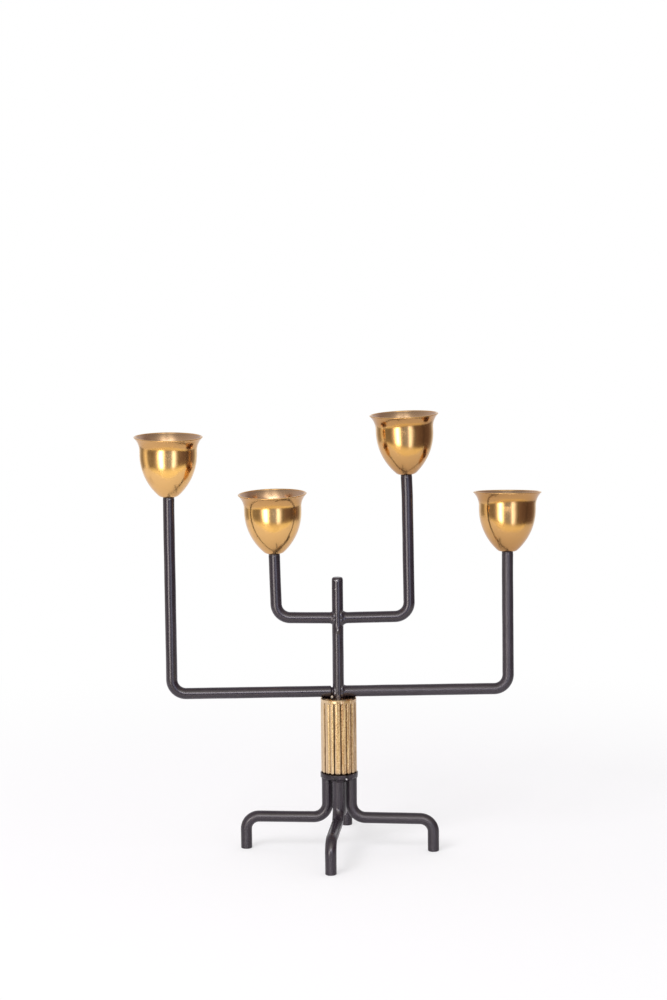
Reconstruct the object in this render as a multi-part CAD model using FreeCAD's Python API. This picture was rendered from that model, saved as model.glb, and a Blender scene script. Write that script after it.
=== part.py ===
import FreeCAD, Part
import math
import os

from FreeCAD import Vector

# Four-light candlestick of bent round rod: four legs under a collar, a reeded brass sleeve,
# a post with four L-shaped arms, and a brass candle cup on each arm.
# Millimetres. +Z is up, the front is -Y, the floor is z = 0 and the post stands on the Z axis.

# Rod that the legs, arms and post are cut from, measured over its lacquer
rod_diameter = 6.3
rod_end_chamfer = 0.4

# Legs, their tops stood round the head of the post's screw
foot_circle_radius = 53.0
leg_height = 41.5
leg_run_height = 18.4
leg_head_clearance = 0.1
leg_top_bend_radius = 8.0
leg_foot_bend_radius = 7.4
leg_weld_size = 1.0

# Collar that the legs are welded under, wider than the ring of leg tops by its overhang
collar_overhang = 0.65
collar_thickness = 3.2
collar_top_round = 0.5
collar_bottom_round = 1.4

# Reeded sleeve that stands on the collar, its first groove turned from the front towards the right
sleeve_diameter = 20.1
sleeve_length = 43.05
sleeve_bore_clearance = 0.1
sleeve_top_chamfer = 0.8
reed_count = 18
reed_turn = 6.2
reed_depth = 0.8
reed_top_band = 2.3

# Post, its end stops short of the collar so that the sleeve is what gets clamped
post_end_gap = 0.4
post_rise = 23.0
post_top_chamfer = 0.7

# Arms, measured from the post's axis along the run and from the run's axis up to the cup.
# The neck is the last stretch of the rod, straight and in line with the cup.
arm_spacing = 41.8
arm_bend_radius = 8.0
arm_neck_length = 12.0
arm_neck_bend_radius = 80.0
arm_end_gap = 0.1
arm_open_gap = 0.8
lower_left_reach = 93.1
lower_right_reach = 95.4
upper_left_reach = 34.1
upper_right_reach = 40.0
lower_left_upright = 111.5
lower_right_upright = 76.8
upper_left_upright = 36.9
upper_right_upright = 80.4
lower_right_weld = 1.6
upper_left_weld = 1.5
upper_right_weld = 2.3

# Cups, spun with a flared lip, a short straight belly and a rounded foot.
# The flat floor is wider than the screw's head by its margin.
cup_height = 33.6
cup_rim_diameter = 39.2
cup_belly_diameter = 31.9
cup_lip_height = 7.8
cup_straight_height = 1.8
cup_floor_margin = 0.65
cup_foot_round = 3.5
cup_wall = 0.9

# Slotted cheese-head screws
cup_screw_diameter = 3.0
cup_screw_head_diameter = 5.5
cup_screw_head_height = 2.0
cup_screw_slot_width = 0.8
cup_screw_slot_depth = 0.9
post_screw_diameter = 4.0
post_screw_head_diameter = 7.0
post_screw_head_height = 2.6
post_screw_slot_width = 1.2
post_screw_slot_depth = 1.1
screw_engagement = 8.0
screw_hole_spare = 1.5
screw_side_clearance = 0.05

# How far a cutting body passes the face that it cuts
cut_overrun = 1.0

# Two directions closer than this, as unit vectors, count as one
straight_tolerance = 1e-6

# Directions of the legs, in degrees from the front towards the right
front_leg_angle = -5.5
right_leg_angle = 83.3
rear_leg_angle = 175.5
left_leg_angle = 265.5

# Shares of a groove: its half width of the reed pitch, and its depth half way up the flank
groove_half_width_share = 0.36
groove_flank_share = 0.25
# Shares of the rod's radius that bound a leg weld, inwards and outwards of the leg's axis
leg_weld_inner_share = 0.6
leg_weld_outer_share = 0.75
# Stations along an arm weld as shares of its length, and its least height and width as shares of the rod's
weld_station_shares = (0.0, 0.25, 0.5, 0.75, 1.0)
weld_height_share = 0.98
weld_width_share = 0.95
# Radius of the recessed weld at an open joint, as a share of the rod's radius
open_weld_share = 0.75

rod_radius = rod_diameter / 2
leg_circle_radius = post_screw_head_diameter / 2 + leg_head_clearance + rod_radius
collar_radius = leg_circle_radius + rod_radius + collar_overhang
cup_foot_radius = cup_screw_head_diameter / 2 + cup_floor_margin
collar_top = leg_height + collar_thickness
sleeve_top = collar_top + sleeve_length
lower_arm_height = sleeve_top + rod_radius
upper_arm_height = lower_arm_height + arm_spacing
post_top = upper_arm_height + post_rise
up = Vector(0, 0, 1)

leg_angles = {
    "front_leg": front_leg_angle,
    "right_leg": right_leg_angle,
    "rear_leg": rear_leg_angle,
    "left_leg": left_leg_angle,
}

# Angles of each arm in degrees: the run turned about the post and rising outwards, then the upright
# and the cup leaning outwards and backwards. A weld of 0 is an open joint with a recessed weld.
arms = {
    "lower_left": {
        "side": -1, "height": lower_arm_height, "reach": lower_left_reach, "upright": lower_left_upright,
        "turn": 1.7, "rise": 0.0, "lean_out": 0.0, "lean_back": 0.0, "cup_lean_out": -0.5,
        "gap": arm_open_gap, "weld": 0},
    "lower_right": {
        "side": 1, "height": lower_arm_height, "reach": lower_right_reach, "upright": lower_right_upright,
        "turn": 1.7, "rise": 0.0, "lean_out": 0.0, "lean_back": 5.5, "cup_lean_out": 0.3,
        "gap": arm_end_gap, "weld": lower_right_weld},
    "upper_left": {
        "side": -1, "height": upper_arm_height, "reach": upper_left_reach, "upright": upper_left_upright,
        "turn": 0.0, "rise": 0.8, "lean_out": 1.4, "lean_back": 0.0, "cup_lean_out": 1.2,
        "gap": arm_end_gap, "weld": upper_left_weld},
    "upper_right": {
        "side": 1, "height": upper_arm_height, "reach": upper_right_reach, "upright": upper_right_upright,
        "turn": 0.0, "rise": 0.8, "lean_out": -0.6, "lean_back": 1.0, "cup_lean_out": -2.0,
        "gap": arm_end_gap, "weld": upper_right_weld},
}


def unit(vector):
    return Vector(vector).normalize()


def around(radius, degrees, height):
    angle = math.radians(degrees)
    return Vector(radius * math.sin(angle), -radius * math.cos(angle), height)


def cylinder(radius, bottom, top):
    return Part.makeCylinder(radius, top - bottom, Vector(0, 0, bottom))


def revolved(edges):
    face = Part.Face(Part.Wire(edges))
    return face.revolve(Vector(0, 0, 0), up, 360)


def straight_edges(points):
    return Part.makePolygon(points + points[:1]).Edges


def line(start, end):
    return Part.LineSegment(start, end).toShape()


def arc(start, middle, end):
    return Part.Arc(start, middle, end).toShape()


def section_point(radius, height):
    return Vector(radius, 0, height)


def arc_about(centre, radius, start_degrees, end_degrees):
    # Arc in the XZ plane, angles from +X towards +Z
    points = []
    for degrees in (start_degrees, (start_degrees + end_degrees) / 2, end_degrees):
        angle = math.radians(degrees)
        points.append(centre + Vector(radius * math.cos(angle), 0, radius * math.sin(angle)))
    return arc(*points)


def placed(shape, point, axis):
    # A body made upright at the origin, set at a point with its Z along the axis
    shape.Placement = FreeCAD.Placement(point, FreeCAD.Rotation(up, axis))
    return shape


def bent_rod(points, bend_radii):
    # Round rod through the points, with a tangent arc at each inner point
    edges = []
    start = points[0]
    for corner, after, bend_radius in zip(points[1:-1], points[2:], bend_radii):
        incoming = unit(corner - start)
        outgoing = unit(after - corner)
        if incoming.isEqual(outgoing, straight_tolerance):
            continue
        half_turn = incoming.getAngle(outgoing) / 2
        setback = bend_radius * math.tan(half_turn)
        inward = unit(outgoing - incoming)
        centre = corner + inward * (bend_radius / math.cos(half_turn))
        arc_start = corner - incoming * setback
        arc_end = corner + outgoing * setback
        edges.append(line(start, arc_start))
        edges.append(arc(arc_start, centre - inward * bend_radius, arc_end))
        start = arc_end
    edges.append(line(start, points[-1]))
    section = Part.Wire(Part.makeCircle(rod_radius, points[0], unit(points[1] - points[0])))
    return Part.Wire(edges).makePipeShell([section], True, False)


def chamfered_end(solid, point, axis, size):
    # Breaks the sharp edge round the flat end that faces along the axis at the point
    for face in solid.Faces:
        flat = face.Surface.TypeId == "Part::GeomPlane"
        if flat and face.CenterOfMass.distanceToPoint(point) < rod_radius / 2:
            if face.normalAt(0, 0).dot(axis) > 0:
                return solid.makeChamfer(size, face.OuterWire.Edges)
    return solid


def make_leg(degrees):
    top = around(leg_circle_radius, degrees, leg_height)
    knee = around(leg_circle_radius, degrees, leg_run_height)
    ankle = around(foot_circle_radius, degrees, leg_run_height)
    foot = around(foot_circle_radius, degrees, 0)
    leg = bent_rod([top, knee, ankle, foot], [leg_top_bend_radius, leg_foot_bend_radius])
    return chamfered_end(leg, foot, -up, rod_end_chamfer)


def make_leg_welds(legs):
    # Fillet round each leg's top, kept on the leg's two flanks
    outer = leg_weld_size + rod_radius
    fillet = revolved([
        line(section_point(0, 0), section_point(outer, 0)),
        arc_about(section_point(outer, -leg_weld_size), leg_weld_size, 90, 180),
        line(section_point(rod_radius, -leg_weld_size), section_point(0, -leg_weld_size)),
        line(section_point(0, -leg_weld_size), section_point(0, 0)),
    ])
    ring_outer = leg_circle_radius + rod_radius * leg_weld_outer_share
    ring_inner = leg_circle_radius - rod_radius * leg_weld_inner_share
    ring = cylinder(ring_outer, 0, leg_height).cut(cylinder(ring_inner, 0, leg_height))
    welds = []
    for degrees, leg in zip(leg_angles.values(), legs):
        bead = placed(fillet.copy(), around(leg_circle_radius, degrees, leg_height), up)
        welds += bead.common(ring).cut(leg).Solids
    return Part.makeCompound(welds)


def make_collar():
    shoulder = section_point(collar_radius - collar_top_round, collar_top - collar_top_round)
    heel = section_point(collar_radius - collar_bottom_round, leg_height + collar_bottom_round)
    blank = revolved([
        line(section_point(0, leg_height), section_point(heel.x, leg_height)),
        arc_about(heel, collar_bottom_round, -90, 0),
        line(section_point(collar_radius, heel.z), section_point(collar_radius, shoulder.z)),
        arc_about(shoulder, collar_top_round, 0, 90),
        line(section_point(shoulder.x, collar_top), section_point(0, collar_top)),
        line(section_point(0, collar_top), section_point(0, leg_height)),
    ])
    hole_radius = post_screw_diameter / 2 + screw_side_clearance
    return blank.cut(cylinder(hole_radius, leg_height - cut_overrun, collar_top + cut_overrun))


def make_groove_cutter():
    # One groove between two reeds: two bulging flanks that meet at its bottom
    radius = sleeve_diameter / 2
    half_width = 360 / reed_count * groove_half_width_share
    bottom = around(radius - reed_depth, 0, collar_top - cut_overrun)
    outline = []
    for side in (1, -1):
        flank = around(radius - reed_depth * groove_flank_share, side * half_width / 2, bottom.z)
        lip = around(radius, side * half_width, bottom.z)
        brow = around(radius + cut_overrun, side * half_width, bottom.z)
        outline.append(arc(bottom, flank, lip))
        outline.append(line(lip, brow))
        outline.append(line(brow, around(radius + cut_overrun, 0, bottom.z)))
    face = Part.Face(Part.Wire(Part.__sortEdges__(outline)))
    return face.extrude(Vector(0, 0, sleeve_length - reed_top_band + cut_overrun))


def make_sleeve():
    radius = sleeve_diameter / 2
    blank = cylinder(radius, collar_top, sleeve_top)
    blank = blank.cut(cylinder(rod_radius + sleeve_bore_clearance, collar_top - cut_overrun,
                               sleeve_top + cut_overrun))
    # The grooves run out up a cone below the plain band
    groove_top = sleeve_top - reed_top_band
    floor_radius = radius - reed_depth
    low = collar_top - cut_overrun
    outside = radius + cut_overrun
    runout = revolved(straight_edges([
        section_point(floor_radius, low),
        section_point(outside, low),
        section_point(outside, groove_top),
        section_point(radius, groove_top),
        section_point(floor_radius, groove_top - reed_depth),
    ]))
    cutter = make_groove_cutter().common(runout)
    cutters = []
    for index in range(reed_count):
        copy = cutter.copy()
        copy.rotate(Vector(0, 0, 0), up, reed_turn + 360 * index / reed_count)
        cutters.append(copy)
    sleeve = blank.cut(cutters)
    edge_ring = revolved(straight_edges([
        section_point(radius - sleeve_top_chamfer, sleeve_top),
        section_point(radius, sleeve_top),
        section_point(radius, sleeve_top - sleeve_top_chamfer),
    ]))
    return sleeve.cut(edge_ring)


def make_post():
    bottom = collar_top + post_end_gap
    post = cylinder(rod_radius, bottom, post_top)
    post = chamfered_end(post, Vector(0, 0, post_top), up, post_top_chamfer)
    hole_radius = post_screw_diameter / 2 + screw_side_clearance
    hole_top = bottom + screw_engagement + screw_hole_spare
    return post.cut(cylinder(hole_radius, bottom - cut_overrun, hole_top))


def arm_lines(arm):
    # Directions and points that an arm, its weld, its cup and its screw share
    turn = math.radians(arm["turn"])
    out = Vector(math.cos(turn), math.sin(turn), 0) * arm["side"]
    back = Vector(0, 1, 0)
    run = unit(out + up * math.tan(math.radians(arm["rise"])))
    root = Vector(0, 0, arm["height"])
    corner = root + run * (arm["reach"] / run.dot(out))
    backwards = back * math.tan(math.radians(arm["lean_back"]))
    upright = out * math.tan(math.radians(arm["lean_out"])) + backwards + up
    seat_axis = unit(out * math.tan(math.radians(arm["cup_lean_out"])) + backwards + up)
    neck_height = arm["height"] + arm["upright"] - arm_neck_length
    neck = corner + upright * (neck_height - corner.z)
    seat = neck + seat_axis * arm_neck_length
    return {"run": run, "root": root, "corner": corner, "neck": neck, "seat": seat, "seat_axis": seat_axis}


def make_arm(arm):
    lines = arm_lines(arm)
    start = lines["root"] + lines["run"] * (rod_radius + arm["gap"])
    points = [start, lines["corner"], lines["neck"], lines["seat"]]
    rod = bent_rod(points, [arm_bend_radius, arm_neck_bend_radius])
    rod = chamfered_end(rod, lines["seat"], lines["seat_axis"], rod_end_chamfer)
    hole_radius = cup_screw_diameter / 2 + screw_side_clearance
    hole_depth = screw_engagement + screw_hole_spare
    hole = Part.makeCylinder(hole_radius, hole_depth + cut_overrun, Vector(0, 0, -hole_depth))
    return rod.cut(placed(hole, lines["seat"], lines["seat_axis"]))


def make_arm_weld(arm, rod, post):
    lines = arm_lines(arm)
    start = rod_radius + arm["gap"]
    if arm["weld"] == 0:
        # An open joint: the weld sits back from the rod's edge and bridges the gap
        bead = Part.makeCylinder(rod_radius * open_weld_share, start, lines["root"], lines["run"])
    else:
        # Upright ellipses that grow into the post along a hollow curve
        across = unit(lines["run"].cross(up))
        length = start + arm["weld"]
        wires = []
        for share in weld_station_shares:
            along = length * share
            remaining = min(length - along, arm["weld"])
            growth = arm["weld"] - math.sqrt(arm["weld"] ** 2 - remaining ** 2)
            tall = rod_radius * weld_height_share + growth
            wide = rod_radius * weld_width_share
            centre = lines["root"] + lines["run"] * along
            ellipse = Part.Ellipse(centre + unit(across.cross(lines["run"])) * tall,
                                   centre + across * wide, centre)
            wires.append(Part.Wire(ellipse.toShape()))
        bead = Part.makeLoft(wires, True, False)
    bead = bead.cut(post).cut(rod)
    # Filed flush where it meets the sleeve's top
    bead = bead.cut(cylinder(sleeve_diameter / 2, collar_top, sleeve_top))
    return bead.Solids


def cup_outline(inset):
    # The cup's curve moved in by the inset: foot, belly and lip arcs that run into each other
    belly_radius = cup_belly_diameter / 2
    flare = (cup_rim_diameter - cup_belly_diameter) / 2
    lip_radius = (flare ** 2 + cup_lip_height ** 2) / (2 * flare)
    lip_bottom = cup_height - cup_lip_height
    belly_top = lip_bottom - cup_straight_height
    reach = belly_radius - cup_foot_radius
    rise = belly_top - cup_foot_round
    curve = (reach ** 2 + rise ** 2 - cup_foot_round ** 2) / (2 * (reach - cup_foot_round))
    belly_centre = section_point(belly_radius - curve, belly_top)
    foot_centre = section_point(cup_foot_radius, cup_foot_round)
    lip_centre = section_point(belly_radius + lip_radius, lip_bottom)
    slope = math.degrees(math.atan2(foot_centre.z - belly_centre.z, foot_centre.x - belly_centre.x))
    lip_angle = 180 - math.degrees(math.asin(cup_lip_height / (lip_radius + inset)))
    edges = [
        line(section_point(0, inset), section_point(cup_foot_radius, inset)),
        arc_about(foot_centre, cup_foot_round - inset, -90, slope),
        arc_about(belly_centre, curve - inset, slope, 0),
        line(section_point(belly_radius - inset, belly_top), section_point(belly_radius - inset, lip_bottom)),
        arc_about(lip_centre, lip_radius + inset, 180, lip_angle),
    ]
    mouth = edges[-1].Vertexes[-1].Point
    edges.append(line(mouth, section_point(0, cup_height)))
    edges.append(line(section_point(0, cup_height), section_point(0, inset)))
    return edges


def make_cup(arm):
    lines = arm_lines(arm)
    cup = revolved(cup_outline(0)).cut(revolved(cup_outline(cup_wall)))
    hole_radius = cup_screw_diameter / 2 + screw_side_clearance
    cup = cup.cut(cylinder(hole_radius, -cut_overrun, cup_wall + cut_overrun))
    return placed(cup, lines["seat"], lines["seat_axis"])


def make_screw(diameter, length, head_diameter, head_height, slot_width, slot_depth):
    # Upright screw with the underside of its head at z = 0 and its shank below
    head = cylinder(head_diameter / 2, 0, head_height)
    shank = cylinder(diameter / 2, -length, 0)
    slot_length = head_diameter + cut_overrun
    corner = Vector(-slot_length / 2, -slot_width / 2, head_height - slot_depth)
    slot = Part.makeBox(slot_length, slot_width, slot_depth + cut_overrun, corner)
    return head.fuse(shank).removeSplitter().cut(slot)


def make_cup_screw(arm):
    lines = arm_lines(arm)
    screw = make_screw(cup_screw_diameter, cup_wall + screw_engagement, cup_screw_head_diameter,
                       cup_screw_head_height, cup_screw_slot_width, cup_screw_slot_depth)
    return placed(screw, lines["seat"] + lines["seat_axis"] * cup_wall, lines["seat_axis"])


def make_post_screw():
    length = collar_thickness + post_end_gap + screw_engagement
    screw = make_screw(post_screw_diameter, length, post_screw_head_diameter,
                       post_screw_head_height, post_screw_slot_width, post_screw_slot_depth)
    return placed(screw, Vector(0, 0, leg_height), -up)


nodes = {}
for name, degrees in leg_angles.items():
    nodes[name] = make_leg(degrees)
nodes["leg_welds"] = make_leg_welds([nodes[name] for name in leg_angles])
nodes["base_collar"] = make_collar()
nodes["reeded_sleeve"] = make_sleeve()
nodes["center_post"] = make_post()
nodes["post_screw"] = make_post_screw()

welds = {"lower": [], "upper": []}
cup_screws = []
for name, arm in arms.items():
    rod = make_arm(arm)
    nodes[name + "_arm"] = rod
    nodes[name + "_cup"] = make_cup(arm)
    cup_screws.append(make_cup_screw(arm))
    welds[name.split("_")[0]] += make_arm_weld(arm, rod, nodes["center_post"])
nodes["cup_screws"] = Part.makeCompound(cup_screws)
for level, beads in welds.items():
    nodes[level + "_arm_welds"] = Part.makeCompound(beads)

os.makedirs("parts", exist_ok=True)
for name, shape in nodes.items():
    shape.exportStep("parts/" + name + ".step")
    solids = len(shape.Solids)
    print(name, "solids", solids, "volume", round(shape.Volume, 1), "valid", shape.isValid())
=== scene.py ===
import bpy
import math
import numpy as np
from mathutils import Matrix, Vector


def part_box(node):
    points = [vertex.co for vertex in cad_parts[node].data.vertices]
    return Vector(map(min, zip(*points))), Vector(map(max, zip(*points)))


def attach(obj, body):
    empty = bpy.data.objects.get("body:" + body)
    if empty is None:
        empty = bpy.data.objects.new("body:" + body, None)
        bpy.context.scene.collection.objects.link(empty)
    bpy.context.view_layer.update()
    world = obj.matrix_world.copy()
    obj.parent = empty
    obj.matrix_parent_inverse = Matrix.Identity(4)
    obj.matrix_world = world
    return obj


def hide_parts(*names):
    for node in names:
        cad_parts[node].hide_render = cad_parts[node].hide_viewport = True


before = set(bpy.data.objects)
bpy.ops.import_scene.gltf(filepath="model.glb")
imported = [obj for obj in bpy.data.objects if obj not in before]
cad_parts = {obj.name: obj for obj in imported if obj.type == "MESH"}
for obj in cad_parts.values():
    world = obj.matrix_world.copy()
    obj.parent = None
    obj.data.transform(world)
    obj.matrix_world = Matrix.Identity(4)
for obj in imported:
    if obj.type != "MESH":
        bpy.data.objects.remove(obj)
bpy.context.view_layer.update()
print("frame loaded with", len(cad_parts), "nodes")

mm = 0.001                       # every size below is in millimetres
up = np.array([0.0, 0.0, 1.0])
scene = bpy.context.scene


# Colours and nodes

def hexColour(code):
    # sRGB hex to linear RGBA: a straight line near black, then a power curve
    srgb = np.array([int(code[i:i + 2], 16) for i in (1, 3, 5)]) / 255
    linear = np.where(srgb <= 0.04045, srgb / 12.92, ((srgb + 0.055) / 1.055) ** 2.4)
    return (*linear.tolist(), 1.0)


def addNode(tree, kind, sockets, **settings):
    # a new shader node; a socket given another socket, or a node for its first live output, is linked, and
    # a value is set on it, as a colour where it is a hex code
    node = tree.nodes.new("ShaderNode" + kind)
    for name, value in settings.items():
        setattr(node, name, value)
    for name, value in sockets.items():
        if isinstance(value, bpy.types.Node):
            value = next(output for output in value.outputs if output.enabled)
        if isinstance(value, bpy.types.NodeSocket):
            tree.links.new(value, node.inputs[name])
        else:
            node.inputs[name].default_value = hexColour(value) if isinstance(value, str) else value
    return node


def span(side, limits):
    # the least and the most of a range, as sockets of a node that maps one range to another
    return {side + " Min": limits[0], side + " Max": limits[1]}


def perMetre(size):
    # texture scale at which one feature measures this many millimetres: one over the size
    return 1 / (size * mm)


def startMaterial(name):
    # a material with an empty node tree
    material = bpy.data.materials.new(name)
    material.use_nodes = True
    tree = material.node_tree
    tree.nodes.clear()
    return material, tree


def readPatterns(tree, attributes, noise):
    # what a finish reads: object coordinates, attributes of the mesh, and noise. A noise is given as the
    # size of its features in millimetres, its detail and its roughness
    read = {"place": addNode(tree, "TexCoord", {}).outputs["Object"]}
    for key in attributes:
        read[key] = addNode(tree, "Attribute", {}, attribute_name=key).outputs["Fac"]
    for key, (size, detail, roughness) in noise.items():
        read[key] = addNode(tree, "TexNoise", {
            "Vector": read["place"], "Scale": perMetre(size), "Detail": detail, "Roughness": roughness})
    return read


def dulledGloss(tree, pattern, dull, look):
    # roughness: the pattern's range carried over to the finish's own, plus what the dull attribute adds
    gloss = addNode(tree, "MapRange", {
        "Value": pattern, **span("From", look["glossRange"]), **span("To", look["roughness"])})
    return addNode(tree, "Math", {0: dull, 1: look["dullRoughness"], 2: gloss}, operation="MULTIPLY_ADD")


def endMaterial(tree, shader):
    # the finished shader is what the surface shows
    addNode(tree, "OutputMaterial", {"Surface": shader})


# Satin black lacquer brushed over steel rod: a soft broad gloss, a little orange peel, and small pale
# flecks where edges and welds have rubbed bare. The marks attribute says where it is rubbed.
lacquerLook = {
    "name": "satinBlackLacquer", "black": "#251d26", "faded": "#2e252f", "bare": "#dcd8d8",
    "roughness": (0.17, 0.27), "dullRoughness": 0.2, "specular": 0.62, "peelHeight": 0.025, "bump": 0.5,
    "noise": {"mottle": (9.0, 3.0, 0.5), "peel": (1.1, 2.0, 0.5), "grit": (0.45, 1.0, 0.5),
              "fleck": (0.7, 3.0, 0.65)},
    "mottleRange": (0.3, 0.7), "glossRange": (0.25, 0.75),
    # what the marks add to the flecks, and the range of that sum over which the metal shows
    "rubbing": 0.45, "bareRange": (0.80, 0.86),
}
# over the weld scale round the collar the same lacquer, patchy, with its black painted darker as shade for
# the collar and the welds under it
shadedScaleLook = {
    **lacquerLook, "name": "shadedScaleBlackLacquer", "black": "#160e14", "faded": "#352a33",
    "roughness": (0.16, 0.42), "specular": 0.42, "peelHeight": 0.12,
    "noise": {**lacquerLook["noise"], "mottle": (3.2, 3.0, 0.5), "peel": (2.4, 2.0, 0.5),
              "grit": (2.2, 1.0, 0.5)},
}


def lacquerOnSteel(look):
    # black mixed to faded by the mottle, then to bare metal where flecks and marks add up
    material, tree = startMaterial(look["name"])
    read = readPatterns(tree, ("marks", "dull"), look["noise"])
    tone = addNode(tree, "MapRange", {"Value": read["mottle"], **span("From", look["mottleRange"])})
    paint = addNode(tree, "Mix", {"Factor": tone, "A": look["black"], "B": look["faded"]}, data_type="RGBA")
    rubbed = addNode(tree, "Math", {
        0: read["marks"], 1: look["rubbing"], 2: read["fleck"]}, operation="MULTIPLY_ADD")
    bare = addNode(tree, "MapRange", {"Value": rubbed, **span("From", look["bareRange"])})
    colour = addNode(tree, "Mix", {"Factor": bare, "A": paint, "B": look["bare"]}, data_type="RGBA")
    bump = addNode(tree, "Bump", {
        "Height": read["peel"], "Strength": look["bump"], "Distance": look["peelHeight"] * mm})
    shader = addNode(tree, "BsdfPrincipled", {
        "Base Color": colour, "Roughness": dulledGloss(tree, read["grit"], read["dull"], look),
        "Normal": bump, "Specular IOR Level": look["specular"]})
    endMaterial(tree, shader)
    return material


# Mirror-polished spun brass: clear reflections of the room, drawn out up and down by the fine rings that the
# polishing left, and warmer where it was handled. Inside it is waxy and dull. The marks attribute is tarnish
# together with painted shade under the lip and near the foot, dull is 1 inside, and along runs up the curve.
cupLook = {
    "brass": "#eabb78", "tarnish": "#a87a4c", "waxed": "#c0a084",
    "roughness": (0.145, 0.205), "dullRoughness": 0.095, "drawnOut": 0.45,
    "ring": 0.6, "ringDetail": 3.0, "ringHeight": 0.003, "waveHeight": 0.06, "bump": 0.5,
    "noise": {"blotch": (7.0, 4.0, 0.5), "smudge": (1.6, 3.0, 0.5), "wave": (5.0, 1.0, 0.5)},
    "handledRange": (0.48, 0.75), "handledMost": 0.55, "glossRange": (0.35, 0.75),
}


def polishedBrass(look):
    # brass mixed to tarnish by the greater of blotches and marks, and to wax inside
    material, tree = startMaterial("polishedSpunBrass")
    read = readPatterns(tree, ("along", "marks", "dull"), look["noise"])
    rings = addNode(tree, "TexNoise", {
        "W": read["along"], "Scale": 1 / look["ring"], "Detail": look["ringDetail"]}, noise_dimensions="1D")
    handled = addNode(tree, "MapRange", {
        "Value": read["blotch"], **span("From", look["handledRange"]), "To Max": look["handledMost"]})
    tarnished = addNode(tree, "Math", {0: handled, 1: read["marks"]}, operation="MAXIMUM")
    outside = addNode(tree, "Mix", {
        "Factor": tarnished, "A": look["brass"], "B": look["tarnish"]}, data_type="RGBA")
    colour = addNode(tree, "Mix", {
        "Factor": read["dull"], "A": outside, "B": look["waxed"]}, data_type="RGBA")
    wavy = addNode(tree, "Bump", {
        "Height": read["wave"], "Strength": look["bump"], "Distance": look["waveHeight"] * mm})
    bump = addNode(tree, "Bump", {
        "Height": rings, "Strength": look["bump"], "Distance": look["ringHeight"] * mm, "Normal": wavy})
    ringWay = addNode(tree, "Tangent", {}, direction_type="RADIAL", axis="Z")
    # a quarter turn from the rings, so the reflections smear across them
    shader = addNode(tree, "BsdfPrincipled", {
        "Base Color": colour, "Metallic": 1.0, "Normal": bump, "Tangent": ringWay,
        "Roughness": dulledGloss(tree, read["smudge"], read["dull"], look),
        "Anisotropic": look["drawnOut"], "Anisotropic Rotation": 0.25})
    endMaterial(tree, shader)
    return material


# Satin brass bar with milled reeds: a pale broken sheen down each reed, fine upright draw lines, and
# brown tarnish left in the grooves. The marks attribute is 1 at the bottom of a groove, and dull is painted
# shade that browns the reeds towards the front right and makes them a little rougher.
sleeveLook = {
    "brass": "#e8cfa8", "shadedBrown": "#9c724a", "tarnish": "#54351b",
    "roughness": (0.10, 0.18), "dullRoughness": 0.05, "bump": 0.4,
    "line": 0.5, "lineDetail": 3.0, "lineStretch": 0.03, "lineHeight": 0.010,
    "noise": {"blotch": (3.0, 4.0, 0.5), "speckle": (0.6, 2.0, 0.5)},
    # brown lines of painted shade, with a share of speckles among them, and dirt in the grooves with a share
    # of blotches
    "speckleShare": 0.4, "stainRange": (0.38, 0.58), "stainMost": 0.95,
    "blotchShare": 0.5, "dirtRange": (0.36, 1.0), "glossRange": (0.3, 0.7),
}


def satinBrass(look):
    # brass mixed to a painted shade of brown by lines and speckles as far as dull reaches, then to tarnish by
    # marks and a share of blotches
    material, tree = startMaterial("satinReededBrass")
    read = readPatterns(tree, ("marks", "dull"), look["noise"])
    drawn = addNode(tree, "Mapping", {"Vector": read["place"], "Scale": (1.0, 1.0, look["lineStretch"])})
    lines = addNode(tree, "TexNoise", {
        "Vector": drawn, "Scale": perMetre(look["line"]), "Detail": look["lineDetail"]})
    stain = addNode(tree, "Mix", {"Factor": look["speckleShare"], "A": lines, "B": read["speckle"]})
    tone = addNode(tree, "MapRange", {
        "Value": stain, **span("From", look["stainRange"]), "To Max": look["stainMost"]})
    # painted shade: the brown shows only as far as dull reaches
    tone = addNode(tree, "Math", {0: tone, 1: read["dull"]}, operation="MULTIPLY")
    brass = addNode(tree, "Mix", {"Factor": tone, "A": look["brass"], "B": look["shadedBrown"]}, data_type="RGBA")
    dirt = addNode(tree, "Math", {
        0: read["blotch"], 1: look["blotchShare"], 2: read["marks"]}, operation="MULTIPLY_ADD")
    dirty = addNode(tree, "MapRange", {"Value": dirt, **span("From", look["dirtRange"])})
    colour = addNode(tree, "Mix", {"Factor": dirty, "A": brass, "B": look["tarnish"]}, data_type="RGBA")
    bump = addNode(tree, "Bump", {
        "Height": lines, "Strength": look["bump"], "Distance": look["lineHeight"] * mm})
    shader = addNode(tree, "BsdfPrincipled", {
        "Base Color": colour, "Metallic": 1.0, "Normal": bump,
        "Roughness": dulledGloss(tree, lines, read["dull"], look)})
    endMaterial(tree, shader)
    return material


# Turned screws, brass in the cups and zinc-plated steel under the collar: fine lathe scratches and a
# patchy dull film that breaks the shine.
screwLooks = {
    "cup_screws": {
        "name": "turnedBrass", "metal": "#d9b36c", "film": "#a07a40", "roughness": (0.22, 0.42)},
    "post_screw": {
        "name": "zincPlatedSteel", "metal": "#b8b6b2", "film": "#8b8a8c", "roughness": (0.25, 0.5)},
}
screwGrain = {"noise": {"scratch": (0.3, 2.0, 0.5), "film": (1.4, 3.0, 0.5)}, "depth": 0.01, "bump": 0.4}


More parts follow.
